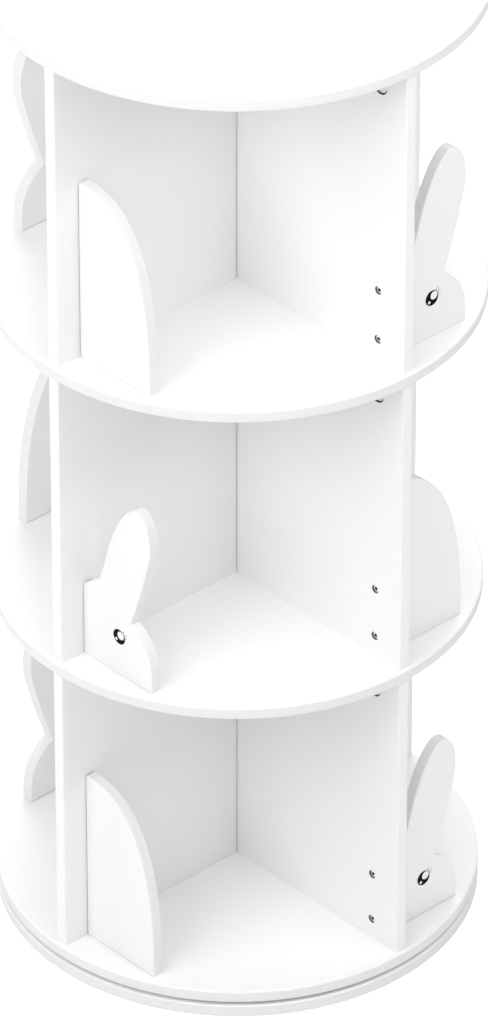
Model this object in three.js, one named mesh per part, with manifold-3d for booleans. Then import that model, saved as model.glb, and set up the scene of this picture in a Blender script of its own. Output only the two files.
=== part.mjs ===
// Revolving media tower: round shelves on interlocking cross panels, with rabbit-shaped end boards,
// turning on a ball-bearing turntable over a fixed base. Millimetres, +Z up, origin on the floor
// under the turning axis.
import * as THREE from 'three';
import { mergeVertices } from 'three/addons/utils/BufferGeometryUtils.js';
import Module from 'manifold-3d';

const wasm = await Module();
wasm.setup();

// Boards and shelves
const BOARD = 12; // thickness of every shelf, cross panel and end board
const SHELF_RADIUS = 225; // of the fixed base as well
const SHELF_EDGE = 2; // rounding of a shelf's rim
const SHELF_EDGE_STEPS = 2;
const SHELF_SIDES = 56;
const CLEAR_HEIGHT = 306; // shelf top to the underside of the next shelf
const PANEL_SETBACK = 4; // shelf rim to a cross panel's end
const PANEL_EDGE = 1.5; // rounding of a cross panel's upright edges
const PANEL_EDGE_STEPS = 2;
const LAP_CLEARANCE = 0.3; // each side of the slot where two cross panels interlock

// End boards, which stop the books sliding out
const END_BOARD_WIDTH = 90;
const END_BOARD_SETBACK = 31; // shelf rim to an end board's outer face, on the arm's middle
const END_BOARD_EDGE = 1; // chamfer round an end board's outline
const END_BOARD_GAP = 0.3; // end board to the panel it is screwed to
const RUMP_HEIGHT = 180;
const RUMP_POWER = 2.5; // fullness of the rump's arch: 2 is an ellipse
const RUMP_STEPS = 14;
const RABBIT_HEIGHT = 187;
const EAR_STEPS = 16;
const CHEEK_STEPS = 5;

// Screws that hold an end board, driven through the panel from its far side
const SCREW_LOW = 15.5; // shelf to the lower screw
const SCREW_SPACING = 51;
const SCREW_RECESS_RADIUS = 4.8;
const SCREW_SINK = 2.4; // depth of the round recess for the head
const SCREW_SIDES = 10;

// Cam locks that pull each cross panel up to the shelf above
const CAM_RADIUS = 7.5;
const CAM_LENGTH = 10;
const CAM_DROP = 24; // shelf above to the cam's middle
const CAM_CLEARANCE = 0.3;
const CAM_CROSS = 8;
const CAM_CROSS_WIDTH = 1.6;
const CAM_CROSS_DEPTH = 1.5;
const CAM_SIDES = 14;
const BOLT_RADIUS = 3;
const BOLT_NECK_RADIUS = 1.8;
const BOLT_NECK = 5;
const BOLT_HEAD = 3; // length of the ball-ended head that the cam grips
const BOLT_THREAD = 9; // length screwed into the shelf above
const BOLT_CLEARANCE = 0.3;
const BOLT_SIDES = 8;

// Turntable
const TURNTABLE_HEIGHT = 9;
const TURNTABLE_LIFT = 1; // running gap of each ring to the board that it doesn't hold
const RACE_RADIUS = 136; // circle of the balls' centres
const RING_WIDTH = 14; // ball's middle to each ring's far edge
const RACE_STEPS = 4;
const BALL_RADIUS = 2.5;
const BALL_COUNT = 12;
const BALL_SIDES = 8;
const BALL_CLEARANCE = 0.5; // balls and cage to the rings
const CAGE_WALL = 1.2;
const CAGE_HEIGHT = 4;
const RING_SIDES = 60;

// Base
const BASE_BOARD = 12;
const TURNTABLE_POCKET = 5; // depth of the round pocket that the outer ring is let into
const POCKET_CLEARANCE = 0.5; // ring's rim to the pocket's wall
const BASE_EDGE = 1.5;
const BASE_EDGE_STEPS = 1;
const PAD_RADIUS = 15;
const PAD = 1.2; // thickness of a foot pad
const PAD_INSET = 35; // base rim to a pad's middle
const PAD_COUNT = 6;
const PAD_SIDES = 12;

const OVERRUN = 1; // how far a cutting solid passes the face it opens
const WELD = 0.0001; // corners nearer than this are one corner

// Outline of the rabbit board, from the panel outwards and from the shelf upwards, as shares of
// END_BOARD_WIDTH and RABBIT_HEIGHT
const NECK_SHARES = [[0, 0], [0, 0.406], [0.13, 0.45]];
const EAR_SHARES = [
  [0.235, 0.49], [0.31, 0.6], [0.4, 0.745], [0.53, 0.885], [0.65, 0.965], [0.765, 1],
  [0.88, 0.975], [0.96, 0.9], [0.978, 0.79], [0.92, 0.665], [0.82, 0.505], [0.69, 0.325],
];
const CHEEK_SHARES = [[0.78, 0.297], [0.88, 0.248], [0.965, 0.178], [0.995, 0.094], [1, 0]];

const PANEL_REACH = SHELF_RADIUS - PANEL_SETBACK;
const PITCH = CLEAR_HEIGHT + BOARD;
const BASE_RADIUS = SHELF_RADIUS;
const TURNTABLE_Z = PAD + BASE_BOARD - TURNTABLE_POCKET;
const BOTTOM_SHELF_Z = TURNTABLE_Z + TURNTABLE_HEIGHT;
const END_BOARD_OUTSET = SHELF_RADIUS - END_BOARD_SETBACK;
const FASTENER_X = END_BOARD_OUTSET - BOARD / 2; // screws, cams and bolts stand in one line
const CAM_Z = CLEAR_HEIGHT - CAM_DROP;
const QUARTER_TURN = Math.PI / 2;

const PAINT = new THREE.MeshStandardMaterial({ color: 0xf4f4f2, roughness: 0.45, metalness: 0 });
const ALUMINIUM = new THREE.MeshStandardMaterial({ color: 0xb9bcc0, roughness: 0.35, metalness: 1 });
const ZINC = new THREE.MeshStandardMaterial({ color: 0xa9abad, roughness: 0.4, metalness: 1 });
const STEEL = new THREE.MeshStandardMaterial({ color: 0xc4c6c8, roughness: 0.3, metalness: 1 });
const NYLON = new THREE.MeshStandardMaterial({ color: 0x2a2b2d, roughness: 0.6, metalness: 0 });
const RUBBER = new THREE.MeshStandardMaterial({ color: 0x3a3a3a, roughness: 0.9, metalness: 0 });

// A closed mesh with shared corners and no empty triangles
function welded(geometry) {
  const bare = geometry.clone();
  bare.deleteAttribute('normal');
  bare.deleteAttribute('uv');
  const merged = mergeVertices(bare, WELD);
  const index = merged.index.array;
  const kept = [];
  for (let i = 0; i < index.length; i += 3) {
    const [a, b, c] = [index[i], index[i + 1], index[i + 2]];
    if (a !== b && b !== c && c !== a) {
      kept.push(a, b, c);
    }
  }
  merged.setIndex(kept);
  merged.computeVertexNormals();
  return merged;
}

function toSolid(geometry) {
  const closed = welded(geometry);
  return new wasm.Manifold(new wasm.Mesh({
    numProp: 3,
    vertProperties: new Float32Array(closed.attributes.position.array),
    triVerts: new Uint32Array(closed.index.array),
  }));
}

function toGeometry(solid) {
  const mesh = solid.getMesh();
  const geometry = new THREE.BufferGeometry();
  geometry.setAttribute('position', new THREE.BufferAttribute(mesh.vertProperties, 3));
  geometry.setIndex(new THREE.BufferAttribute(mesh.triVerts, 1));
  geometry.computeVertexNormals();
  return geometry;
}

function cut(geometry, cutters) {
  return toGeometry(cutters.reduce((solid, cutter) => solid.subtract(toSolid(cutter)), toSolid(geometry)));
}

// Revolves a section, given as [radius, height] corners anticlockwise, about +Z
function revolve(corners, sides) {
  const points = corners.map(([radius, height]) => new THREE.Vector2(radius, height));
  return new THREE.LatheGeometry(points, sides).rotateX(QUARTER_TURN);
}

function arc(centreX, centreY, radius, from, to, steps) {
  const corners = [];
  for (let i = 0; i <= steps; i += 1) {
    const angle = from + (to - from) * i / steps;
    corners.push([centreX + radius * Math.cos(angle), centreY + radius * Math.sin(angle)]);
  }
  return corners;
}

// An upright round bar from one height to another
function bar(x, y, radius, low, high, sides) {
  const geometry = new THREE.CylinderGeometry(radius, radius, high - low, sides).rotateX(QUARTER_TURN);
  return geometry.translate(x, y, (low + high) / 2);
}

// A round bar along Y, from one place to another
function crossBar(x, z, radius, near, far, sides) {
  const geometry = new THREE.CylinderGeometry(radius, radius, far - near, sides);
  return geometry.translate(x, (near + far) / 2, z);
}

function block(width, depth, height, x, y, z) {
  return new THREE.BoxGeometry(width, depth, height).translate(x, y, z);
}

// Half section of a round board, without the corners at its middle
function rimSection(radius, thickness, edge, edgeSteps) {
  const side = radius - edge;
  return [
    ...arc(side, edge, edge, -QUARTER_TURN, 0, edgeSteps),
    ...arc(side, thickness - edge, edge, 0, QUARTER_TURN, edgeSteps),
  ];
}

// Underside holes take the cam bolts of the panels below
function shelf(boltsBelow) {
  const rim = rimSection(SHELF_RADIUS, BOARD, SHELF_EDGE, SHELF_EDGE_STEPS);
  const disc = revolve([[0, 0], ...rim, [0, BOARD]], SHELF_SIDES);
  if (!boltsBelow) {
    return welded(disc);
  }
  const radius = BOLT_RADIUS + BOLT_CLEARANCE;
  const depth = BOLT_THREAD + BOLT_CLEARANCE;
  const holes = [0, 1, 2, 3].map((quarter) => {
    const hole = bar(FASTENER_X, 0, radius, -OVERRUN, depth, BOLT_SIDES);
    return hole.rotateZ(quarter * QUARTER_TURN);
  });
  return cut(disc, holes);
}

// A panel from rim to rim along X, half slotted to interlock with its twin along Y
function crossPanel(slotAtTop) {
  const half = BOARD / 2;
  const plan = new THREE.Shape();
  const corner = PANEL_REACH - PANEL_EDGE;
  const side = half - PANEL_EDGE;
  const outline = [
    ...arc(corner, -side, PANEL_EDGE, -QUARTER_TURN, 0, PANEL_EDGE_STEPS),
    ...arc(corner, side, PANEL_EDGE, 0, QUARTER_TURN, PANEL_EDGE_STEPS),
    ...arc(-corner, side, PANEL_EDGE, QUARTER_TURN, 2 * QUARTER_TURN, PANEL_EDGE_STEPS),
    ...arc(-corner, -side, PANEL_EDGE, 2 * QUARTER_TURN, 3 * QUARTER_TURN, PANEL_EDGE_STEPS),
  ];
  plan.setFromPoints(outline.map(([x, y]) => new THREE.Vector2(x, y)));
  const panel = new THREE.ExtrudeGeometry(plan, { depth: CLEAR_HEIGHT, bevelEnabled: false });
  const slotWidth = BOARD + 2 * LAP_CLEARANCE;
  const slotHeight = CLEAR_HEIGHT / 2 + LAP_CLEARANCE / 2 + OVERRUN;
  const slotMiddle = slotAtTop
    ? CLEAR_HEIGHT + OVERRUN - slotHeight / 2
    : slotHeight / 2 - OVERRUN;
  const cutters = [block(slotWidth, BOARD + 2 * OVERRUN, slotHeight, 0, 0, slotMiddle)];
  const camSeat = CAM_LENGTH + CAM_CLEARANCE;
  for (const arm of [0, 2]) {
    const pocketRadius = CAM_RADIUS + CAM_CLEARANCE;
    const pocket = crossBar(FASTENER_X, CAM_Z, pocketRadius, -half - OVERRUN, camSeat - half, CAM_SIDES);
    const bore = bar(FASTENER_X, 0, BOLT_RADIUS + BOLT_CLEARANCE, CAM_Z, CLEAR_HEIGHT + OVERRUN, BOLT_SIDES);
    const recesses = [SCREW_LOW, SCREW_LOW + SCREW_SPACING].map((height) => (
      crossBar(FASTENER_X, height, SCREW_RECESS_RADIUS, -half - OVERRUN, SCREW_SINK - half, SCREW_SIDES)
    ));
    for (const cutter of [pocket, bore, ...recesses]) {
      cutters.push(cutter.rotateZ(arm * QUARTER_TURN));
    }
  }
  return cut(panel, cutters);
}

// Stands an outline up across an arm that points along +X: out from the panel is +Y, up is +Z
function endBoard(corners) {
  const outline = new THREE.Shape(corners.map(([out, up]) => new THREE.Vector2(out, up)));
  const board = new THREE.ExtrudeGeometry(outline, {
    depth: BOARD - 2 * END_BOARD_EDGE,
    bevelThickness: END_BOARD_EDGE,
    bevelSize: END_BOARD_EDGE,
    bevelOffset: -END_BOARD_EDGE,
    bevelSegments: 1,
  });
  const xAxis = new THREE.Vector3(1, 0, 0);
  const yAxis = new THREE.Vector3(0, 1, 0);
  const zAxis = new THREE.Vector3(0, 0, 1);
  board.applyMatrix4(new THREE.Matrix4().makeBasis(yAxis, zAxis, xAxis));
  board.translate(END_BOARD_OUTSET - BOARD + END_BOARD_EDGE, BOARD / 2 + END_BOARD_GAP, 0);
  return welded(board);
}

function rumpOutline() {
  const corners = [[0, 0]];
  for (let i = 0; i <= RUMP_STEPS; i += 1) {
    const angle = QUARTER_TURN * i / RUMP_STEPS;
    const out = END_BOARD_WIDTH * Math.cos(angle) ** (2 / RUMP_POWER);
    const up = RUMP_HEIGHT * Math.sin(angle) ** (2 / RUMP_POWER);
    corners.push(i === RUMP_STEPS ? [0, RUMP_HEIGHT] : [out, up]);
  }
  return corners;
}

function curveThrough(shares, steps) {
  const points = shares.map(([out, up]) => new THREE.Vector2(out * END_BOARD_WIDTH, up * RABBIT_HEIGHT));
  return new THREE.SplineCurve(points).getSpacedPoints(steps).map((point) => [point.x, point.y]);
}

function rabbitOutline() {
  const neck = NECK_SHARES.map(([out, up]) => [out * END_BOARD_WIDTH, up * RABBIT_HEIGHT]);
  return [...neck, ...curveThrough(EAR_SHARES, EAR_STEPS), ...curveThrough(CHEEK_SHARES, CHEEK_STEPS)];
}

// The cam's face has a cross slot for a screwdriver, and its rim is open to the bolt's head
function camLock() {
  const half = BOARD / 2;
  const drum = crossBar(FASTENER_X, CAM_Z, CAM_RADIUS, -half, CAM_LENGTH - half, CAM_SIDES);
  const slotDepth = CAM_CROSS_DEPTH + OVERRUN;
  const slotY = CAM_CROSS_DEPTH - half - slotDepth / 2;
  const grip = bar(
    FASTENER_X, 0, BOLT_RADIUS + BOLT_CLEARANCE,
    CAM_Z - BOLT_HEAD / 2 - BOLT_CLEARANCE, CAM_Z + CAM_RADIUS + OVERRUN, BOLT_SIDES,
  );
  return cut(drum, [
    block(CAM_CROSS, slotDepth, CAM_CROSS_WIDTH, FASTENER_X, slotY, CAM_Z),
    block(CAM_CROSS_WIDTH, slotDepth, CAM_CROSS, FASTENER_X, slotY, CAM_Z),
    grip,
  ]);
}

function camBolt() {
  const headTop = CAM_Z + BOLT_HEAD / 2;
  const neckTop = headTop + BOLT_NECK;
  const bolt = revolve([
    [0, CAM_Z - BOLT_HEAD / 2],
    [BOLT_NECK_RADIUS, CAM_Z - BOLT_HEAD / 2],
    [BOLT_RADIUS, CAM_Z],
    [BOLT_NECK_RADIUS, headTop],
    [BOLT_NECK_RADIUS, neckTop],
    [BOLT_RADIUS, neckTop],
    [BOLT_RADIUS, CLEAR_HEIGHT + BOLT_THREAD],
    [0, CLEAR_HEIGHT + BOLT_THREAD],
  ], BOLT_SIDES);
  return welded(bolt.translate(FASTENER_X, 0, 0));
}

// Both rings carry half of one ball groove; the wall gap between them holds the cage
const RACE_Z = TURNTABLE_HEIGHT / 2;
const GROOVE_RADIUS = BALL_RADIUS + BALL_CLEARANCE;
const WALL_OFFSET = CAGE_WALL / 2 + BALL_CLEARANCE;
const GROOVE_ANGLE = Math.acos(WALL_OFFSET / GROOVE_RADIUS);

function outerRing() {
  const top = TURNTABLE_HEIGHT - TURNTABLE_LIFT;
  const wall = RACE_RADIUS + WALL_OFFSET;
  const rim = RACE_RADIUS + RING_WIDTH;
  return welded(revolve([
    [wall, 0],
    [rim, 0],
    [rim, top],
    [wall, top],
    ...arc(RACE_RADIUS, RACE_Z, GROOVE_RADIUS, GROOVE_ANGLE, -GROOVE_ANGLE, RACE_STEPS),
    [wall, 0],
  ], RING_SIDES));
}

function innerRing() {
  const wall = RACE_RADIUS - WALL_OFFSET;
  const bore = RACE_RADIUS - RING_WIDTH;
  const turn = 2 * QUARTER_TURN;
  return welded(revolve([
    [bore, TURNTABLE_LIFT],
    [wall, TURNTABLE_LIFT],
    ...arc(RACE_RADIUS, RACE_Z, GROOVE_RADIUS, turn + GROOVE_ANGLE, turn - GROOVE_ANGLE, RACE_STEPS),
    [wall, TURNTABLE_HEIGHT],
    [bore, TURNTABLE_HEIGHT],
    [bore, TURNTABLE_LIFT],
  ], RING_SIDES));
}

function ballCage() {
  const inside = RACE_RADIUS - CAGE_WALL / 2;
  const outside = RACE_RADIUS + CAGE_WALL / 2;
  const low = RACE_Z - CAGE_HEIGHT / 2;
  const high = RACE_Z + CAGE_HEIGHT / 2;
  const band = revolve([
    [inside, low],
    [outside, low],
    [outside, high],
    [inside, high],
    [inside, low],
  ], RING_SIDES);
  let cage = toSolid(band);
  for (let i = 0; i < BALL_COUNT; i += 1) {
    const ball = new THREE.SphereGeometry(BALL_RADIUS, BALL_SIDES, BALL_SIDES / 2);
    ball.translate(RACE_RADIUS, 0, RACE_Z).rotateZ(4 * QUARTER_TURN * i / BALL_COUNT);
    cage = cage.add(toSolid(ball));
  }
  return toGeometry(cage);
}

// The outer ring is let into a pocket in the base, so that only a narrow gap shows under the shelf
function baseBoard() {
  const pocket = RACE_RADIUS + RING_WIDTH + POCKET_CLEARANCE;
  const floor = BASE_BOARD - TURNTABLE_POCKET;
  const rim = rimSection(BASE_RADIUS, BASE_BOARD, BASE_EDGE, BASE_EDGE_STEPS);
  const section = [[0, 0], ...rim, [pocket, BASE_BOARD], [pocket, floor], [0, floor]];
  return welded(revolve(section, SHELF_SIDES));
}

function footPad() {
  return welded(new THREE.CylinderGeometry(PAD_RADIUS, PAD_RADIUS, PAD, PAD_SIDES).rotateX(QUARTER_TURN));
}

const tower = new THREE.Group();

function place(parent, name, geometry, material, height = 0) {
  const mesh = new THREE.Mesh(geometry, material);
  mesh.name = name;
  mesh.position.z = height;
  parent.add(mesh);
  return mesh;
}

// Fixed base with its foot pads and the turntable
for (let i = 0; i < PAD_COUNT; i += 1) {
  const spoke = new THREE.Group();
  spoke.rotation.z = 4 * QUARTER_TURN * i / PAD_COUNT;
  tower.add(spoke);
  place(spoke, `foot_pad_${i + 1}`, footPad(), RUBBER, PAD / 2).position.x = BASE_RADIUS - PAD_INSET;
}
place(tower, 'base_board', baseBoard(), PAINT, PAD);
place(tower, 'turntable_outer_ring', outerRing(), ALUMINIUM, TURNTABLE_Z);
place(tower, 'turntable_ball_cage', ballCage(), NYLON, TURNTABLE_Z);
place(tower, 'turntable_inner_ring', innerRing(), ALUMINIUM, TURNTABLE_Z);

// Shelves
place(tower, 'shelf_bottom', shelf(false), PAINT, BOTTOM_SHELF_Z);
['shelf_lower', 'shelf_upper', 'shelf_top'].forEach((name, i) => {
  place(tower, name, shelf(true), PAINT, BOTTOM_SHELF_Z + (i + 1) * PITCH);
});

// Tiers: a pair of interlocking panels, and on each of their four arms an end board, a cam and a bolt
const ARMS = ['right', 'back', 'left', 'front'];
['lower', 'middle', 'upper'].forEach((tier, i) => {
  const level = new THREE.Group();
  level.position.z = BOTTOM_SHELF_Z + BOARD + i * PITCH;
  tower.add(level);
  place(level, `${tier}_panel_left_right`, crossPanel(true), PAINT);
  const across = place(level, `${tier}_panel_front_back`, crossPanel(false), PAINT);
  across.rotation.z = QUARTER_TURN;
  ARMS.forEach((side, quarter) => {
    const arm = new THREE.Group();
    arm.rotation.z = quarter * QUARTER_TURN;
    level.add(arm);
    const isRabbit = (i + quarter) % 2 === 0;
    const outline = isRabbit ? rabbitOutline() : rumpOutline();
    place(arm, `${tier}_${side}_${isRabbit ? 'rabbit' : 'rump'}_board`, endBoard(outline), PAINT);
    place(arm, `${tier}_${side}_cam_lock`, camLock(), ZINC);
    place(arm, `${tier}_${side}_cam_bolt`, camBolt(), STEEL);
  });
});

export default tower;
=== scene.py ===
"""The looks of a revolving media tower: white round shelves on crossed uprights, with rabbit-shaped
end boards, on a ball-bearing turntable. Lengths are in metres, +Z is up and the front is -Y."""
import math

import bmesh
import bpy
from bpy.props import FloatProperty, FloatVectorProperty, IntProperty, PointerProperty
from mathutils import Matrix, Vector


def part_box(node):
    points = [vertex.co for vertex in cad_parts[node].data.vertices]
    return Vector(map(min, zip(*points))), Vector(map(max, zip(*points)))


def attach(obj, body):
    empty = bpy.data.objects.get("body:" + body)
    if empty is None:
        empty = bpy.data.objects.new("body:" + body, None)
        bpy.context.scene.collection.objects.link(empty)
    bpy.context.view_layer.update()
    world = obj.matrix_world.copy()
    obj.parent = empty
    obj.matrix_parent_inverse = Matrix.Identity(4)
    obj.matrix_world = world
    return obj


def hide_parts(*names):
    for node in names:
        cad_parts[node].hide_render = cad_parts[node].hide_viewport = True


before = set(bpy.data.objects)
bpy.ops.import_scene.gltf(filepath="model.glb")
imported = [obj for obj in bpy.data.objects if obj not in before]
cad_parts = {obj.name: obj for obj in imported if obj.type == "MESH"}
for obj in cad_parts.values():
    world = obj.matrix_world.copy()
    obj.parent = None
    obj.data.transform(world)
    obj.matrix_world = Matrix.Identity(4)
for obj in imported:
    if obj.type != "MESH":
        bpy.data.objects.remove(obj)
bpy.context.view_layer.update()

bl_info = {
    "name": "Revolving Media Tower",
    "version": (1, 0, 0),
    "blender": (4, 5, 0),
    "location": "View3D > Sidebar > Tower",
    "description": "Models and finishes the boards, fittings, eyes and turntable of a revolving media tower",
    "category": "Object",
}

MM = 0.001
QUARTER_TURN = math.pi / 2
UP = Vector((0, 0, 1))

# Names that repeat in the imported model: three tiers, and four arms counted anticlockwise from +X
TIERS = ("lower", "middle", "upper")
ARMS = ("right", "back", "left", "front")
PLACES = [(tier, arm) for tier in TIERS for arm in ARMS]
SHELVES = ("shelf_bottom", "shelf_lower", "shelf_upper", "shelf_top")


def is_rabbit(tier, arm):
    """Rabbits and rumps alternate round a tier and from tier to tier."""
    return (TIERS.index(tier) + ARMS.index(arm)) % 2 == 0


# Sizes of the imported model
SHELF_LOW, SHELF_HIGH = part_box("shelf_top")
PANEL_LOW, PANEL_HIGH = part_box("lower_panel_left_right")
RABBIT_LOW, RABBIT_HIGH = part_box("lower_right_rabbit_board")
RUMP_LOW, RUMP_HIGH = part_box("middle_right_rump_board")
CAM_LOW, CAM_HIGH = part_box("lower_right_cam_lock")
BOLT_LOW, BOLT_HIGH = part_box("lower_right_cam_bolt")
OUTER_RING_LOW, OUTER_RING_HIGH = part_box("turntable_outer_ring")
INNER_RING_LOW, INNER_RING_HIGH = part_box("turntable_inner_ring")
CAGE_LOW, CAGE_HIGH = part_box("turntable_ball_cage")
BASE_LOW, BASE_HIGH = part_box("base_board")
PAD_LOW, PAD_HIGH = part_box("foot_pad_1")
BOARD = SHELF_HIGH.z - SHELF_LOW.z
FASTENER_X = (CAM_LOW.x + CAM_HIGH.x) / 2
CAM_RADIUS = (CAM_HIGH.x - CAM_LOW.x) / 2
CAM_RISE = (CAM_LOW.z + CAM_HIGH.z) / 2 - PANEL_LOW.z
BOLT_RADIUS = (BOLT_HIGH.x - BOLT_LOW.x) / 2
BOLT_TIP = BOLT_HIGH.z - PANEL_HIGH.z
RACE_Z = (CAGE_LOW.z + CAGE_HIGH.z) / 2

# Numbers of faces round what is round
RIM_SIDES = 192
HOLE_SIDES = 48
BORE_SIDES = 24
BALL_SIDES = 24
BALL_BANDS = 16
GROOVE_STEPS = 10
ROUNDING_STEPS = 4
HEXAGON = 6

# Cutting solids pass the faces that they open by this much, and points nearer than the weld are one point
OVERRUN = MM
WELD = 0.001 * MM

FLAT_LIMIT = 0.5         # a face whose normal leans less than this towards an axis counts as lying along it
SHARP_ANGLE = math.radians(40)
HEAD_SLOPE_SHARE = 0.4   # of a screw head's thickness, taken off round its top
RING_CHAMFER = MM
PAD_COUNT = 6


def length(name, description, default, low=0.0, high=1.0):
    """A length that the sidebar shows to a tenth of a millimetre."""
    return FloatProperty(
        name=name, description=description, default=default, min=low, max=high, unit="LENGTH", precision=4)


def tint(name, description, default):
    return FloatVectorProperty(
        name=name, description=description, default=default, min=0, max=1, size=3, subtype="COLOR")


def power(name, description, default):
    return FloatProperty(name=name, description=description, default=default, min=0, subtype="POWER")


class BoardSizes(bpy.types.PropertyGroup):
    """Sizes of the boards that a maker would change."""

    rim_rounding: length("Rim Rounding", "Radius of a shelf's rounded rim", 2 * MM, 0.2 * MM, 5 * MM)
    base_rounding: length(
        "Base Rounding", "Radius of the fixed base's rounded rim", 1.5 * MM, 0.2 * MM, 5 * MM)
    ring_gap: length(
        "Ring Gap", "Turntable's outer ring to the wall of its pocket in the base", 0.5 * MM, 0.1 * MM)
    upright_rounding: length(
        "Upright Rounding", "Radius of an upright's outer corners", 1.5 * MM, 0.2 * MM, 5 * MM)
    end_board_rounding: length(
        "End Board Rounding", "Radius round an end board's outline", 1.6 * MM, 0.2 * MM, 5 * MM)
    lap_gap: length(
        "Lap Gap", "Open joint on each side where two uprights interlock", 0.9 * MM, 0.1 * MM, 2 * MM)
    end_board_gap: length(
        "End Board Gap", "Open joint between an end board and its upright", 0.9 * MM, 0.3 * MM, 2 * MM)
    pad_rounding: length("Pad Rounding", "Radius of a foot pad's rounded rim", 0.3 * MM, 0.1 * MM)


class EyeSizes(bpy.types.PropertyGroup):
    """Sizes and places of the rabbits' eyes, from the upright outwards and from the shelf upwards."""

    out: length("Out", "Upright's face to the eye's middle", 47.5 * MM)
    up: length("Up", "Shelf to the eye's middle", 41.3 * MM)
    radius: length("Radius", "Radius of the dark disc", 7.6 * MM, MM)
    glint_radius: length("Glint Radius", "Radius of the large white highlight", 4.2 * MM, 0.5 * MM)
    glint_offset: length("Glint Offset", "Eye's middle to the large highlight's middle", 3.1 * MM)
    glint_angle: FloatProperty(
        name="Glint Angle", description="Large highlight's direction, from outwards to upwards",
        default=math.radians(44), subtype="ANGLE")
    spark_radius: length("Spark Radius", "Radius of the small white highlight", 1.5 * MM, 0.2 * MM)
    spark_offset: length("Spark Offset", "Eye's middle to the small highlight's middle", 4.9 * MM)
    spark_angle: FloatProperty(
        name="Spark Angle", description="Small highlight's direction, from outwards to upwards",
        default=math.radians(225), subtype="ANGLE")
    lash_length: length("Lash Length", "Length of the longest lash", 5 * MM, 0.5 * MM)
    lash_root: length("Lash Root", "Half of a lash's width at the dark disc", 0.24 * MM, 0.05 * MM)
    lash_tip: length("Lash Tip", "Half of a lash's width at its end", 0.07 * MM, 0.02 * MM)
    relief: length("Relief", "How far the dark disc stands off the board", 0.3 * MM, 0.05 * MM)


class FittingSizes(bpy.types.PropertyGroup):
    """Sizes of the screws, cams and turntable."""

    screw_low: length("Lower Screw", "Shelf to the lower screw's middle", 21.5 * MM)
    screw_spacing: length("Screw Spacing", "Lower screw to upper screw", 51 * MM)
    recess_radius: length("Recess Radius", "Radius of the round recess for a screw's head", 4.1 * MM, MM)
    recess_depth: length(
        "Recess Depth", "Depth of the round recess for a screw's head", 2.4 * MM, 0.2 * MM)
    head_thickness: length("Head Thickness", "Thickness of a screw's head", 1.1 * MM, 0.2 * MM)
    head_radius: length("Head Radius", "Radius of a screw's head", 3.6 * MM, MM)
    socket_radius: length(
        "Socket Radius", "Middle to corner of a screw's hexagon socket", 1.9 * MM, 0.5 * MM)
    socket_depth: length("Socket Depth", "Depth of a screw's hexagon socket", 3 * MM, 0.3 * MM)
    shank_radius: length("Shank Radius", "Radius of a screw's shank", 2.5 * MM, MM)
    shank_length: length("Shank Length", "Length of a screw's shank inside the upright", 8 * MM, MM)
    hole_gap: length("Hole Gap", "A shank or a bolt to the wall of its hole", 0.3 * MM, 0.05 * MM)
    cam_sink: length("Cam Sink", "How far a cam's face lies below the upright's face", 0.9 * MM)
    pocket_gap: length("Pocket Gap", "Cam's rim to the wall of its pocket", 1.1 * MM, 0.1 * MM)
    cam_rounding: length("Cam Rounding", "Radius of the edge round a cam's face", 0.6 * MM, 0.1 * MM)
    cam_rim: length("Cam Rim", "Width of the raised rim round a cam's face", 1.4 * MM, 0.2 * MM)
    dish_depth: length("Dish Depth", "How far a cam's face lies below its rim", 0.5 * MM, 0.1 * MM)
    cross_length: length("Cross Length", "Length of each slot of a cam's cross", 8 * MM, MM)
    cross_width: length("Cross Width", "Width of each slot of a cam's cross", 1.6 * MM, 0.2 * MM)
    cross_depth: length("Cross Depth", "Depth of a cam's cross below its rim", 2.4 * MM, 0.2 * MM)
    band_thickness: length(
        "Cage Thickness", "Thickness of the turntable's ball cage", 1.2 * MM, 0.2 * MM)
    band_height: length("Cage Height", "Height of the turntable's ball cage", 4 * MM, MM)
    ball_count: IntProperty(
        name="Balls", description="Balls shown in the turntable's cage",
        default=24, min=3, max=60)


class FinishColors(bpy.types.PropertyGroup):
    """Colours of the finishes."""

    paint: tint("Paint", "Satin white paint on the boards", (0.91, 0.91, 0.908))
    worn_paint: tint("Edge Paint", "Thinner paint along the rounded edges", (0.86, 0.858, 0.85))
    # A darker, duller colour on the cut sides of the shelves and end boards
    rim_paint: tint(
        "Rim Paint", "Paint that has sunk into the cut sides of shaped boards", (0.81, 0.81, 0.808))
    # Partly painted shade: bare board inside the holes, darkened well past its own colour so that the recess
    # and pocket walls read as shaded
    bare_board_and_shade: tint("Bare Board", "Dark core of the board inside its holes", (0.085, 0.078, 0.07))
    # Painted shade: a near-black colour that stands in for the shadow deep inside a screw's socket
    socket: tint("Socket", "Unplated inside of a screw's socket", (0.02, 0.02, 0.02))
    eye: tint("Eye", "Black ink of the eyes", (0.003, 0.003, 0.0035))
    zinc: tint("Zinc", "Cast zinc of the cams", (0.84, 0.845, 0.85))
    steel: tint("Steel", "Plated steel of the screws, bolts and balls", (0.88, 0.885, 0.89))
    aluminium: tint("Aluminium", "Bare aluminium of the turntable's rings", (0.72, 0.73, 0.75))
    nylon: tint("Nylon", "Dark nylon of the ball cage", (0.03, 0.03, 0.032))
    rubber: tint("Rubber", "Grey rubber of the foot pads", (0.06, 0.06, 0.06))
    floor: tint("Floor", "Pale floor of the studio", (0.95, 0.95, 0.95))


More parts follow.
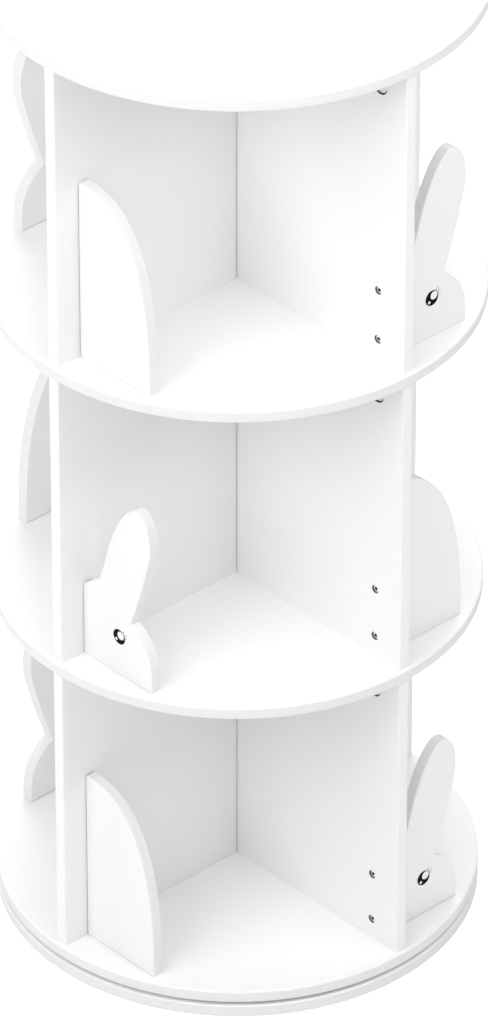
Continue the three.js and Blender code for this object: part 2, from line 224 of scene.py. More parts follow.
class StageSettings(bpy.types.PropertyGroup):
    """Camera and lights of the plain studio."""

    azimuth: FloatProperty(
        name="Azimuth", description="Camera's turn round the tower from the front",
        default=math.radians(47.1), subtype="ANGLE")
    elevation: FloatProperty(
        name="Elevation", description="Camera's angle above the horizon",
        default=math.radians(34.24), subtype="ANGLE")
    distance: length("Distance", "Camera to the point that it looks at", 7.793, high=50.0)
    lens: FloatProperty(
        name="Lens", description="Focal length on the sensor's width",
        default=301.01, min=10, subtype="DISTANCE_CAMERA")
    sensor: FloatProperty(
        name="Sensor", description="Width of the camera's sensor",
        default=36.0, min=1, subtype="DISTANCE_CAMERA")
    aim_height: length("Aim Height", "Height of the point that the camera looks at", 0.4068)
    aim_right: length("Aim Right", "That point's distance to the right of the axis", 0.0061, low=-1.0)
    sky: FloatProperty(
        name="Sky", description="Strength of the even white surroundings", default=0.25, min=0)
    front_light: power("Front Light", "Power of the soft light over the front", 20.2)
    left_light: power("Left Light", "Power of the soft light low on the left", 10)
    right_light: power("Right Light", "Power of the soft light high on the right", 18.4)
    broad_light: power("Broad Light", "Power of the broad soft light over the camera", 55)
    back_light: power("Back Light", "Power of the soft light behind", 52)
    backdrop: FloatProperty(
        name="Backdrop", description="Whiteness that the floor and the surroundings show to the camera",
        default=0.6, min=0)


SETTINGS = {
    "tower_boards": BoardSizes,
    "tower_eyes": EyeSizes,
    "tower_fittings": FittingSizes,
    "tower_colors": FinishColors,
    "tower_stage": StageSettings,
}


# Node groups that several finishes share
GREY = (0.8, 0.8, 0.8, 1)


def new_group(name, inputs, outputs):
    """A shader node group with a vector and other inputs; their defaults tell their kinds."""
    group = bpy.data.node_groups.new(name, "ShaderNodeTree")
    group.interface.new_socket("Vector", in_out="INPUT", socket_type="NodeSocketVector")
    for label, default in inputs.items():
        kind = "Float" if isinstance(default, float) else "Color"
        socket = group.interface.new_socket(label, in_out="INPUT", socket_type="NodeSocket" + kind)
        socket.default_value = default
    for label in outputs:
        kind = "Color" if label == "Color" else "Float"
        group.interface.new_socket(label, in_out="OUTPUT", socket_type="NodeSocket" + kind)
    given = group.nodes.new("NodeGroupInput").outputs
    result = group.nodes.new("NodeGroupOutput").inputs
    return group, given, result


def noise(tree, vector, scale, detail=2.0):
    """A noise texture; scale is a socket or a number."""
    node = tree.nodes.new("ShaderNodeTexNoise")
    node.inputs["Detail"].default_value = detail
    tree.links.new(vector, node.inputs["Vector"])
    feed(tree, scale, node.inputs["Scale"])
    return node.outputs["Fac"]


def feed(tree, source, socket):
    """Links a socket, or sets a number, into a socket."""
    if isinstance(source, bpy.types.NodeSocket):
        tree.links.new(source, socket)
    else:
        socket.default_value = source


def maths(tree, operation, first, second=0.0, clamp=False):
    node = tree.nodes.new("ShaderNodeMath")
    node.operation = operation
    node.use_clamp = clamp
    feed(tree, first, node.inputs[0])
    feed(tree, second, node.inputs[1])
    return node.outputs[0]


def spread(tree, value, low, high, to_low=0.0, to_high=1.0):
    """Maps a value's range to another and clamps it."""
    node = tree.nodes.new("ShaderNodeMapRange")
    feed(tree, value, node.inputs["Value"])
    feed(tree, low, node.inputs["From Min"])
    feed(tree, high, node.inputs["From Max"])
    feed(tree, to_low, node.inputs["To Min"])
    feed(tree, to_high, node.inputs["To Max"])
    return node.outputs["Result"]


def blend(tree, share, first, second, kind="FLOAT"):
    """A mix of two values, or of two colours where the kind is RGBA."""
    node = tree.nodes.new("ShaderNodeMix")
    node.data_type = kind
    feed(tree, share, node.inputs["Factor"])
    feed(tree, first, node.inputs["A"])
    feed(tree, second, node.inputs["B"])
    return node.outputs["Result"]


def mottle_group():
    """Slow, faint changes of tone and gloss over a large surface."""
    group, given, result = new_group(
        "mottle",
        {"Color": GREY, "Roughness": 0.4, "Scale": 6.0, "Tone Amount": 0.02, "Gloss Amount": 0.05},
        ("Color", "Roughness"))
    swing = maths(group, "SUBTRACT", noise(group, given["Vector"], given["Scale"], detail=4.0), 0.5)
    tone = maths(group, "ADD", maths(group, "MULTIPLY", swing, given["Tone Amount"]), 1.0)
    shaded = group.nodes.new("ShaderNodeVectorMath")
    shaded.operation = "SCALE"
    feed(group, given["Color"], shaded.inputs[0])
    feed(group, tone, shaded.inputs["Scale"])
    feed(group, shaded.outputs[0], result["Color"])
    gloss = maths(group, "MULTIPLY", swing, given["Gloss Amount"])
    feed(group, maths(group, "ADD", gloss, given["Roughness"]), result["Roughness"])
    return group


def spray_group():
    """Height of sprayed paint: a fine orange peel over slower ripples of the rubbed-down board."""
    group, given, result = new_group(
        "spray", {"Peel Scale": 900.0, "Ripple Scale": 60.0, "Peel Share": 0.4}, ("Height",))
    peel = noise(group, given["Vector"], given["Peel Scale"], detail=1.0)
    ripple = noise(group, given["Vector"], given["Ripple Scale"])
    feed(group, blend(group, given["Peel Share"], ripple, peel), result["Height"])
    return group


def marked_group(name, attribute, scale, span):
    """Another colour and roughness where an attribute marks a face, broken up by noise.

    The span is the noise's low and high value, and the shares of the finish that they stand for."""
    label = attribute.title()
    group, given, result = new_group(
        name,
        {"Color": GREY, f"{label} Color": GREY, "Roughness": 0.4, f"{label} Roughness": 0.6,
         "Amount": 1.0, "Scale": scale},
        ("Color", "Roughness"))
    marked = group.nodes.new("ShaderNodeAttribute")
    marked.attribute_name = attribute
    patches = spread(group, noise(group, given["Vector"], given["Scale"], detail=3.0), *span)
    mask = maths(group, "MULTIPLY", maths(group, "MULTIPLY", marked.outputs["Fac"], patches),
                 given["Amount"], clamp=True)
    color = blend(group, mask, given["Color"], given[f"{label} Color"], "RGBA")
    rough = blend(group, mask, given["Roughness"], given[f"{label} Roughness"])
    feed(group, color, result["Color"])
    feed(group, rough, result["Roughness"])
    return group


def dust_group():
    """A faint matt veil on faces that look upwards."""
    group, given, result = new_group(
        "dust",
        {"Roughness": 0.4, "Dusty Roughness": 0.7, "Amount": 0.3, "Scale": 25.0},
        ("Roughness",))
    geometry = group.nodes.new("ShaderNodeNewGeometry")
    split = group.nodes.new("ShaderNodeSeparateXYZ")
    feed(group, geometry.outputs["Normal"], split.inputs[0])
    upward = spread(group, split.outputs["Z"], 0.5, 1.0)
    specks = noise(group, given["Vector"], given["Scale"], detail=5.0)
    settled = maths(group, "MULTIPLY", upward, spread(group, specks, 0.4, 0.8))
    mask = maths(group, "MULTIPLY", settled, given["Amount"], clamp=True)
    feed(group, blend(group, mask, given["Roughness"], given["Dusty Roughness"]), result["Roughness"])
    return group


def turned_group():
    """Fine rings round +Z, as a lathe leaves them, with a little chatter."""
    group, given, result = new_group(
        "turned",
        {"Rings": 3000.0, "Chatter": 0.3, "Chatter Scale": 400.0, "Roughness": 0.35, "Swing": 0.1},
        ("Height", "Roughness"))
    split = group.nodes.new("ShaderNodeSeparateXYZ")
    feed(group, given["Vector"], split.inputs[0])
    squares = maths(group, "ADD", maths(group, "POWER", split.outputs["X"], 2.0),
                    maths(group, "POWER", split.outputs["Y"], 2.0))
    flat = group.nodes.new("ShaderNodeCombineXYZ")
    feed(group, maths(group, "SQRT", squares), flat.inputs["X"])
    feed(group, split.outputs["Z"], flat.inputs["Y"])
    lines = noise(group, flat.outputs[0], given["Rings"])
    chatter = noise(group, given["Vector"], given["Chatter Scale"])
    feed(group, blend(group, given["Chatter"], lines, chatter), result["Height"])
    swing = maths(group, "MULTIPLY", maths(group, "SUBTRACT", lines, 0.5), given["Swing"])
    feed(group, maths(group, "ADD", swing, given["Roughness"]), result["Roughness"])
    return group


def grain_group():
    """Height of a cast or moulded skin: rounded pits between fine grains."""
    group, given, result = new_group(
        "cast_grain", {"Scale": 1500.0, "Pit Share": 0.5}, ("Height",))
    fine = noise(group, given["Vector"], given["Scale"], detail=3.0)
    cells = group.nodes.new("ShaderNodeTexVoronoi")
    feed(group, given["Vector"], cells.inputs["Vector"])
    feed(group, given["Scale"], cells.inputs["Scale"])
    feed(group, blend(group, given["Pit Share"], fine, cells.outputs["Distance"]), result["Height"])
    return group


GROUP_MAKERS = {
    "mottle": mottle_group,
    "spray": spray_group,
    "edge_paint": lambda: marked_group("edge_paint", "edge", 220.0, (0.35, 0.7, 0.0, 1.0)),
    "rim_paint": lambda: marked_group("rim_paint", "rim", 90.0, (0.2, 0.8, 0.8, 1.0)),
    # Darker colour on hole walls: the bare board's own colour, deepened into painted shade
    "unfinished_hole": lambda: marked_group("unfinished_hole", "hole", 900.0, (0.2, 0.8, 0.85, 1.0)),
    "dust": dust_group,
    "turned": turned_group,
    "cast_grain": grain_group,
}


class Finish:
    """A material under construction: a Principled shader, object coordinates and shared groups."""

    def __init__(self, name, color, roughness, metallic=0.0):
        self.own = {"color": color, "roughness": roughness}
        self.material = bpy.data.materials.new(name)
        self.material.use_nodes = True
        self.tree = self.material.node_tree
        self.shader = self.tree.nodes["Principled BSDF"]
        self.shader.inputs["Base Color"].default_value = (*color, 1)
        self.shader.inputs["Roughness"].default_value = roughness
        self.shader.inputs["Metallic"].default_value = metallic
        self.shader.inputs["IOR"].default_value = 1.5
        self.material.diffuse_color = (*color, 1)
        self.place = self.tree.nodes.new("ShaderNodeTexCoord").outputs["Object"]

    def add(self, group_name, **values):
        """Puts a shared group in, fed by the object coordinates and by sockets or numbers."""
        group = bpy.data.node_groups.get(group_name) or GROUP_MAKERS[group_name]()
        node = self.tree.nodes.new("ShaderNodeGroup")
        node.node_tree = group
        self.tree.links.new(self.place, node.inputs["Vector"])
        for label, value in values.items():
            socket = node.inputs[label.replace("_", " ").title()]
            if socket.type == "RGBA" and not isinstance(value, bpy.types.NodeSocket):
                value = (*value, 1)
            feed(self.tree, value, socket)
        return node

    def mottle(self, **values):
        """Puts in slow patches round the finish's own colour and roughness, or what is given for them."""
        return self.add("mottle", **{**self.own, **values})

    def drive(self, node, *labels):
        """Feeds the shader's sockets from a group's outputs of the same names as the inputs."""
        for label in labels:
            target = "Base Color" if label == "Color" else label
            self.tree.links.new(node.outputs[label], self.shader.inputs[target])

    def bump(self, height, distance, strength):
        node = self.tree.nodes.new("ShaderNodeBump")
        node.inputs["Distance"].default_value = distance
        node.inputs["Strength"].default_value = strength
        self.tree.links.new(height, node.inputs["Height"])
        self.tree.links.new(node.outputs["Normal"], self.shader.inputs["Normal"])


def white_paint(colors):
    """Satin paint sprayed on fibreboard."""
    finish = Finish("white_paint", colors.paint, 0.42)
    tone = finish.mottle(scale=7.0, tone_amount=0.02, gloss_amount=0.1)
    edge = finish.add("edge_paint", color=tone.outputs["Color"], roughness=tone.outputs["Roughness"],
                      edge_color=colors.worn_paint, edge_roughness=0.6, amount=0.35)
    rim = finish.add("rim_paint", color=edge.outputs["Color"], roughness=edge.outputs["Roughness"],
                     rim_color=colors.rim_paint, rim_roughness=0.55)
    # Painted shade in the holes: the walls of the screw recesses and cam pockets take the dark bare-board
    # colour
    hole = finish.add("unfinished_hole", color=rim.outputs["Color"], hole_color=colors.bare_board_and_shade)
    dust = finish.add("dust", roughness=rim.outputs["Roughness"], dusty_roughness=0.62, amount=0.25)
    finish.drive(hole, "Color")
    finish.drive(dust, "Roughness")
    spray = finish.add("spray", peel_scale=700.0, ripple_scale=55.0, peel_share=0.35)
    finish.bump(spray.outputs["Height"], distance=0.06 * MM, strength=0.35)
    return finish.material


def eye_ink(name, color, roughness):
    """Thick silk-screened ink, as on an eye."""
    finish = Finish(name, color, roughness)
    finish.shader.inputs["Specular IOR Level"].default_value = 0.04
    tone = finish.mottle(scale=300.0, tone_amount=0.1, gloss_amount=0.06)
    finish.drive(tone, "Color", "Roughness")
    spray = finish.add("spray", peel_scale=2500.0, ripple_scale=400.0, peel_share=0.3)
    finish.bump(spray.outputs["Height"], distance=0.02 * MM, strength=0.3)
    return finish.material


def plated_steel(colors):
    """Bright zinc-plated steel, with painted shade inside the screws' sockets."""
    finish = Finish("plated_steel", colors.steel, 0.3, metallic=1.0)
    tone = finish.mottle(scale=400.0, tone_amount=0.15, gloss_amount=0.25)
    # Painted shade: the faces inside a screw's socket take the near-black socket colour in place of the
    # shadow there
    hole = finish.add("unfinished_hole", color=tone.outputs["Color"], hole_color=colors.socket)
    finish.drive(tone, "Roughness")
    finish.drive(hole, "Color")
    grain = finish.add("cast_grain", scale=4000.0, pit_share=0.2)
    finish.bump(grain.outputs["Height"], distance=0.02 * MM, strength=0.25)
    return finish.material


def drawn_aluminium(colors):
    """Bare aluminium with the fine rings of its rolling."""
    finish = Finish("drawn_aluminium", colors.aluminium, 0.33, metallic=1.0)
    turned = finish.add("turned", roughness=0.33, swing=0.25, rings=2600.0, chatter=0.25)
    tone = finish.mottle(
        roughness=turned.outputs["Roughness"], scale=60.0, tone_amount=0.12, gloss_amount=0.12)
    finish.drive(tone, "Color", "Roughness")
    finish.bump(turned.outputs["Height"], distance=0.03 * MM, strength=0.4)
    return finish.material


def grainy(name, color, roughness, metallic, patches, grain, depth):
    """A cast or moulded skin; patches and grain are its scale and how strongly it shows."""
    finish = Finish(name, color, roughness, metallic)
    scale, tone_amount, gloss_amount = patches
    tone = finish.mottle(scale=scale, tone_amount=tone_amount, gloss_amount=gloss_amount)
    finish.drive(tone, "Color", "Roughness")
    scale, pit_share, strength = grain
    pits = finish.add("cast_grain", scale=scale, pit_share=pit_share)
    finish.bump(pits.outputs["Height"], depth, strength)
    return finish.material


def cast_zinc(colors):
    """Die-cast zinc with a fine grain and duller patches."""
    return grainy("cast_zinc", colors.zinc, 0.38, 1.0, (250.0, 0.25, 0.3), (2200.0, 0.4, 0.4), 0.05 * MM)


def moulded_nylon(colors):
    """Matt dark nylon."""
    return grainy("moulded_nylon", colors.nylon, 0.55, 0.0, (120.0, 0.3, 0.2), (1800.0, 0.6, 0.5), 0.04 * MM)


def grey_rubber(colors):
    """Soft matt rubber with a dusty skin."""
    return grainy("grey_rubber", colors.rubber, 0.85, 0.0, (150.0, 0.4, 0.15), (900.0, 0.7, 0.6), 0.08 * MM)


# Each finish's maker, and the record's slot that it belongs to, or is nearest to for the eyes' ink
FINISHES = {
    "white_paint": (white_paint, "white_board"),
    "eye_black": (lambda colors: eye_ink("eye_black", colors.eye, 0.5), "cage_nylon"),
    "eye_white": (lambda colors: eye_ink("eye_white", colors.paint, 0.5), "white_board"),
    "cast_zinc": (cast_zinc, "zinc_cam"),
    "plated_steel": (plated_steel, "steel_bolt"),
    "drawn_aluminium": (drawn_aluminium, "aluminium_ring"),
    "moulded_nylon": (moulded_nylon, "cage_nylon"),
    "grey_rubber": (grey_rubber, "rubber_pad"),
}


def finish_material(name):
    """The finish of that name, made the first time that it is asked for."""
    maker, _ = FINISHES[name]
    return bpy.data.materials.get(name) or maker(bpy.context.scene.tower_colors)


# Shapes
def move(bm, x=0.0, y=0.0, z=0.0):
    bmesh.ops.translate(bm, verts=bm.verts[:], vec=(x, y, z))


def turn(bm, angle, axis="Z"):
    bmesh.ops.rotate(bm, verts=bm.verts[:], cent=(0, 0, 0), matrix=Matrix.Rotation(angle, 3, axis))


def raise_face(bm, height, way=UP):
    """Pulls the flat sheet in bm out into a closed solid."""
    grown = bmesh.ops.extrude_face_region(bm, geom=bm.faces[:])
    verts = [item for item in grown["geom"] if isinstance(item, bmesh.types.BMVert)]
    bmesh.ops.translate(bm, verts=verts, vec=way * height)
    bmesh.ops.recalc_face_normals(bm, faces=bm.faces[:])


def mark(bm, name, faces):
    """Marks faces with the attribute that a finish reads."""
    layer = bm.loops.layers.float.get(name) or bm.loops.layers.float.new(name)
    for face in faces:
        for loop in face.loops:
            loop[layer] = 1.0


def round_edges(bm, edges, radius):
    """Rounds edges, and marks the new faces for the paint that is thinner there."""
    made = bmesh.ops.bevel(
        bm, geom=edges, offset=radius, offset_type="OFFSET", segments=ROUNDING_STEPS, profile=0.5,
        affect="EDGES", material=-1, clamp_overlap=True)
    mark(bm, "edge", made["faces"])
    bm.normal_update()


def disc(radius, low, high, sides):
    """A closed round plate between two heights."""
    bm = bmesh.new()
    bmesh.ops.create_circle(bm, cap_ends=True, segments=sides, radius=radius)
    move(bm, z=low)
    raise_face(bm, high - low)
    return bm


def cap_edges(bm):
    """The edges that run round the two ends of an upright solid."""
    return [edge for edge in bm.edges if abs(edge.verts[0].co.z - edge.verts[1].co.z) < WELD]


def rounded_disc(radius, low, high, rounding, sides=RIM_SIDES):
    """A round plate; its rim is marked for the darker, duller rim colour."""
    bm = disc(radius, low, high, sides)
    round_edges(bm, cap_edges(bm), rounding)
    mark(bm, "rim", [face for face in bm.faces if abs(face.normal.z) < FLAT_LIMIT])
    return bm


def cuboid(low, high):
    bm = bmesh.new()
    bmesh.ops.create_cube(bm, size=1.0)
    low = Vector(low)
    high = Vector(high)
    bmesh.ops.scale(bm, verts=bm.verts[:], vec=high - low)
    move(bm, *((low + high) / 2))
    return bm


def cross_bar(rise, radius, near, far, sides=HOLE_SIDES):
    """A round bar along +Y at the fasteners of the arm along +X."""
    bm = disc(radius, 0.0, far - near, sides)
    turn(bm, -QUARTER_TURN, "X")
    move(bm, FASTENER_X, near, rise)
    return bm


def bolt_bore(gap, low, high):
    """A round bar along +Z round the bolt of the arm along +X."""
    bm = disc(BOLT_RADIUS + gap, low, high, BORE_SIDES)
    move(bm, FASTENER_X)
    return bm


def screw_rises(fittings):
    """Heights of an arm's two screws above the shelf."""
    return fittings.screw_low, fittings.screw_low + fittings.screw_spacing


def ring(section, sides=RIM_SIDES, closed=True):
    """Spins a section of (radius, height) corners round +Z; one that isn't closed ends on the axis."""
    bm = bmesh.new()
    corners = [bm.verts.new((radius, 0, height)) for radius, height in section]
    for first, second in zip(corners, corners[1:] + corners[:closed]):
        bm.edges.new((first, second))
    bmesh.ops.spin(
        bm, geom=bm.verts[:] + bm.edges[:], cent=(0, 0, 0), axis=(0, 0, 1), angle=2 * math.pi,
        steps=sides, use_merge=True)
    bmesh.ops.remove_doubles(bm, verts=bm.verts[:], dist=WELD)
    bmesh.ops.recalc_face_normals(bm, faces=bm.faces[:])
    return bm


def join(parts):
    """One bmesh of several, which are freed."""
    whole = bmesh.new()
    for part in parts:
        mesh = bpy.data.meshes.new("part")
        part.to_mesh(mesh)
        part.free()
        whole.from_mesh(mesh)
        bpy.data.meshes.remove(mesh)
    return whole


def mesh_object(name, bm):
    """A new object in the scene that holds bm's mesh; bm is freed."""
    mesh = bpy.data.meshes.new(name)
    bm.to_mesh(mesh)
    bm.free()
    obj = bpy.data.objects.new(name, mesh)
    bpy.context.scene.collection.objects.link(obj)
    return obj


def discard(obj):
    mesh = obj.data
    bpy.data.objects.remove(obj)
    bpy.data.meshes.remove(mesh)


def carve(bm, cutters):
    """Cuts closed solids out of the closed solid bm, one after another, and returns the result."""
    target = mesh_object("blank", bm)
    tools = [mesh_object("cutter", cutter) for cutter in cutters]
    for tool in tools:
        step = target.modifiers.new("carve", "BOOLEAN")
        step.operation = "DIFFERENCE"
        step.solver = "EXACT"
        step.object = tool
    graph = bpy.context.evaluated_depsgraph_get()
    mesh = bpy.data.meshes.new_from_object(target.evaluated_get(graph))
    result = bmesh.new()
    result.from_mesh(mesh)
    bpy.data.meshes.remove(mesh)
    for obj in [target, *tools]:
        discard(obj)
    return result


def piece(name, bm, body, finish, replaced=()):
    """Makes the finished piece of a bmesh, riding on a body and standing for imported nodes."""
    open_edges = [edge for edge in bm.edges if not edge.is_manifold]
    if open_edges:
        raise RuntimeError(f"{name} isn't closed: {len(open_edges)} edges")
    obj = mesh_object(name, bm)
    obj.data.shade_smooth()
    obj.data.set_sharp_from_angle(angle=SHARP_ANGLE)
    obj.data.materials.clear()
    obj.data.materials.append(finish_material(finish))
    even = obj.modifiers.new("even_shading", "WEIGHTED_NORMAL")
    even.keep_sharp = True
    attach(obj, body)
    if replaced:
        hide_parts(*replaced)
    return obj


def direction(azimuth, elevation):
    """Unit vector that points away from the tower, turned from the front towards the right and up."""
    return Vector((
        math.sin(azimuth) * math.cos(elevation),
        -math.cos(azimuth) * math.cos(elevation),
        math.sin(elevation)))


def arm_angle(arm):
    return ARMS.index(arm) * QUARTER_TURN


def tier_floor(tier):
    """Height of the shelf that a tier stands on."""
    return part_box(f"{tier}_panel_left_right")[0].z


def arm_piece(tier, arm, label, bm, finish, *replaced):
    """Puts what was made on the arm along +X, standing on height zero, in its place as a piece.

    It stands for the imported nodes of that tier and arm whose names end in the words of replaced."""
    move(bm, z=tier_floor(tier))
    turn(bm, arm_angle(arm))
    piece(f"{tier}_{arm}_{label}", bm, "tower", finish, [f"{tier}_{arm}_{node}" for node in replaced])


# Outlines of the end boards, as shares of their width and height, out from the upright and up
NECK_SHARES = ((0, 0), (0, 0.406), (0.13, 0.45))
EAR_SHARES = (
    (0.235, 0.49), (0.31, 0.6), (0.4, 0.745), (0.53, 0.885), (0.65, 0.965), (0.765, 1),
    (0.88, 0.975), (0.96, 0.9), (0.978, 0.79), (0.92, 0.665), (0.82, 0.505), (0.69, 0.325),
)
CHEEK_SHARES = ((0.78, 0.297), (0.88, 0.248), (0.965, 0.178), (0.995, 0.094), (1, 0))
EAR_STEPS = 6
CHEEK_STEPS = 5
RUMP_POWER = 2.5
RUMP_STEPS = 48


def curve_through(points, steps):
    """A smooth curve through points, with that many steps from each to the next."""
    points = [Vector(point) for point in points]
    ends = [2 * points[0] - points[1], *points, 2 * points[-1] - points[-2]]
    curve = []
    for before, start, end, after in zip(ends, ends[1:], ends[2:], ends[3:]):
        for step in range(steps):
            t = step / steps
            curve.append(0.5 * (
                2 * start + (end - before) * t
                + (2 * before - 5 * start + 4 * end - after) * t ** 2
                + (3 * start - 3 * end + after - before) * t ** 3))
    return [*curve, points[-1]]


def rabbit_outline():
    size = RABBIT_HIGH - RABBIT_LOW
    shares = [*NECK_SHARES, *curve_through(EAR_SHARES, EAR_STEPS), *curve_through(CHEEK_SHARES, CHEEK_STEPS)]
    return [(size.y * out, size.z * up) for out, up in shares]


def rump_outline():
    size = RUMP_HIGH - RUMP_LOW
    outline = [(0.0, 0.0)]
    for step in range(RUMP_STEPS):
        angle = QUARTER_TURN * step / RUMP_STEPS
        outline.append((
            size.y * math.cos(angle) ** (2 / RUMP_POWER),
            size.z * math.sin(angle) ** (2 / RUMP_POWER)))
    return [*outline, (0.0, size.z)]


def end_board(outline, sizes):
    """An end board on the arm along +X, with its foot at height zero."""
    bm = bmesh.new()
    joint = BOARD / 2 + sizes.end_board_gap
    corners = [bm.verts.new((RABBIT_LOW.x, max(RABBIT_LOW.y + out, joint), up)) for out, up in outline]
    bm.faces.new(corners)
    raise_face(bm, RABBIT_HIGH.x - RABBIT_LOW.x, Vector((1, 0, 0)))
    rims = []
    for edge in bm.edges:
        first, second = (vert.co for vert in edge.verts)
        across = abs(first.x - second.x) > WELD
        at_joint = max(first.y, second.y) < joint + WELD
        if not across and not at_joint:
            rims.append(edge)
    round_edges(bm, rims, sizes.end_board_rounding)
    mark(bm, "rim", [face for face in bm.faces if abs(face.normal.x) < FLAT_LIMIT])
    return bm


class OBJECT_OT_tower_shelves(bpy.types.Operator):
    """Model the four round shelves, bored underneath for the cam bolts"""

    bl_idname = "object.tower_shelves"
    bl_label = "Shelves"
    bl_options = {"REGISTER", "UNDO"}

    def execute(self, context):
        sizes = context.scene.tower_boards
        gap = context.scene.tower_fittings.hole_gap
        for name in SHELVES:
            low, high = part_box(name)
            bm = rounded_disc(high.x, low.z, high.z, sizes.rim_rounding)
            if name != SHELVES[0]:
                bores = []
                for arm in ARMS:
                    bore = bolt_bore(gap, low.z - OVERRUN, low.z + BOLT_TIP + gap)
                    turn(bore, arm_angle(arm))
                    bores.append(bore)
                bm = carve(bm, [join(bores)])
            piece(f"{name}_board", bm, "tower", "white_paint", [name])
        return {"FINISHED"}


class OBJECT_OT_tower_uprights(bpy.types.Operator):
    """Model the crossed uprights with their laps, cam pockets, bolt bores and screw recesses"""

    bl_idname = "object.tower_uprights"
    bl_label = "Uprights"
    bl_options = {"REGISTER", "UNDO"}

    def execute(self, context):
        boards = context.scene.tower_boards
        fittings = context.scene.tower_fittings
        for tier in TIERS:
            floor = tier_floor(tier)
            for way, slot_at_top in (("left_right", True), ("front_back", False)):
                bm = self.upright(boards, fittings, slot_at_top)
                if not slot_at_top:
                    turn(bm, QUARTER_TURN)
                move(bm, z=floor)
                piece(f"{tier}_{way}_upright", bm, "tower", "white_paint", [f"{tier}_panel_{way}"])
        return {"FINISHED"}

    def upright(self, boards, fittings, slot_at_top):
        height = PANEL_HIGH.z - PANEL_LOW.z
        half = BOARD / 2
        bm = cuboid((PANEL_LOW.x, -half, 0), (PANEL_HIGH.x, half, height))
        posts = [edge for edge in bm.edges if (edge.verts[0].co - edge.verts[1].co).xy.length < WELD]
        round_edges(bm, posts, boards.upright_rounding)
        slot_half = half + boards.lap_gap
        face = -half - OVERRUN
        low, high = (height / 2, height + OVERRUN) if slot_at_top else (-OVERRUN, height / 2)
        openings = [cuboid((-slot_half, face, low), (slot_half, -face, high))]
        bores = []
        pocket_floor = CAM_HIGH.y - CAM_LOW.y - half + fittings.hole_gap
        seat = fittings.recess_depth - half
        seen = [(CAM_RISE, CAM_RADIUS + fittings.pocket_gap, pocket_floor)]
        seen.extend((rise, fittings.recess_radius, seat) for rise in screw_rises(fittings))
        for angle in (0, 2 * QUARTER_TURN):
            holes = [cross_bar(rise, radius, face, end) for rise, radius, end in seen]
            bore = bolt_bore(fittings.hole_gap, CAM_RISE, height + OVERRUN)
            shanks = [cross_bar(rise, fittings.shank_radius + fittings.hole_gap, seat - OVERRUN,
                                seat + fittings.shank_length, BORE_SIDES)
                      for rise in screw_rises(fittings)]
            for hole in [*holes, bore, *shanks]:
                turn(hole, angle)
            openings.extend(holes)
            bores.extend([bore, *shanks])
        bm = carve(bm, [join(openings), join(bores)])
        # The walls of the cam pockets and screw recesses are marked for the dark colour that is partly
        # painted shade
        mark(bm, "hole", [face for face in bm.faces if self.is_wall(face, seen)])
        return bm

    def is_wall(self, face, holes):
        """Whether a face belongs to the round wall of a hole in the side, on either arm."""
        middle = face.calc_center_median()
        across = abs(middle.x) - FASTENER_X
        near = [math.hypot(across, middle.z - rise) < radius + WELD for rise, radius, _ in holes]
        return any(near) and abs(face.normal.y) < FLAT_LIMIT


class OBJECT_OT_tower_end_boards(bpy.types.Operator):
    """Model the rabbit and rump boards with rounded outlines"""

    bl_idname = "object.tower_end_boards"
    bl_label = "End Boards"
    bl_options = {"REGISTER", "UNDO"}

    def execute(self, context):
        sizes = context.scene.tower_boards
        for tier, arm in PLACES:
            kind = "rabbit" if is_rabbit(tier, arm) else "rump"
            outline = rabbit_outline() if kind == "rabbit" else rump_outline()
            arm_piece(tier, arm, kind, end_board(outline, sizes), "white_paint", f"{kind}_board")
        return {"FINISHED"}


# Thickness of the highlights and of the lashes as shares of the relief, and rounding as a share of thickness
GLINT_SHARE = 1 / 3
LASH_SHARE = 1 / 2
ROUNDING_SHARE = 1 / 3

# Each lash's angle in degrees, from outwards to upwards, and its share of the longest one's length
LASHES = ((14, 0.75), (32, 1.0), (52, 0.85))


class OBJECT_OT_tower_eyes(bpy.types.Operator):
    """Model the printed eyes and lashes on the rabbits' outer faces"""

    bl_idname = "object.tower_eyes"
    bl_label = "Eyes"
    bl_options = {"REGISTER", "UNDO"}

    def execute(self, context):
        sizes = context.scene.tower_eyes
        for tier, arm in PLACES:
            if not is_rabbit(tier, arm):
                continue
            for label, bm, finish in (
                ("eye", self.spot(sizes, 0, 0, sizes.radius, 0, sizes.relief), "eye_black"),
                ("eye_glints", join(self.glints(sizes)), "eye_white"),
                ("lashes", join(self.lashes(sizes)), "eye_black"),
            ):
                arm_piece(tier, arm, label, bm, finish)
        return {"FINISHED"}

    def spot(self, sizes, angle, offset, radius, low, high):
        """A round spot on the board's outer face, off the eye's middle in one direction."""
        bm = rounded_disc(radius, low, high, (high - low) * ROUNDING_SHARE, sides=HOLE_SIDES)
        turn(bm, QUARTER_TURN, "Y")
        move(bm, RABBIT_HIGH.x, RABBIT_LOW.y + sizes.out + offset * math.cos(angle),
             sizes.up + offset * math.sin(angle))
        return bm

    def glints(self, sizes):
        """The two white highlights on the dark disc."""
        top = sizes.relief
        places = (
            (sizes.glint_angle, sizes.glint_offset, sizes.glint_radius),
            (sizes.spark_angle, sizes.spark_offset, sizes.spark_radius),
        )
        return [self.spot(sizes, angle, offset, radius, top, top + top * GLINT_SHARE)
                for angle, offset, radius in places]

    def lashes(self, sizes):
        """Tapered strokes that start at the disc's rim and point away from its middle."""
        root = sizes.lash_root
        tip = sizes.lash_tip
        strokes = []
        for degrees, share in LASHES:
            extent = share * sizes.lash_length
            bm = bmesh.new()
            corners = [(0, -root), (extent, -tip), (extent, tip), (0, root)]
            bm.faces.new([bm.verts.new((0, along, across)) for along, across in corners])
            raise_face(bm, sizes.relief * LASH_SHARE, Vector((1, 0, 0)))
            move(bm, y=sizes.radius - root)
            turn(bm, math.radians(degrees), "X")
            move(bm, RABBIT_HIGH.x, RABBIT_LOW.y + sizes.out, sizes.up)
            strokes.append(bm)
        return strokes


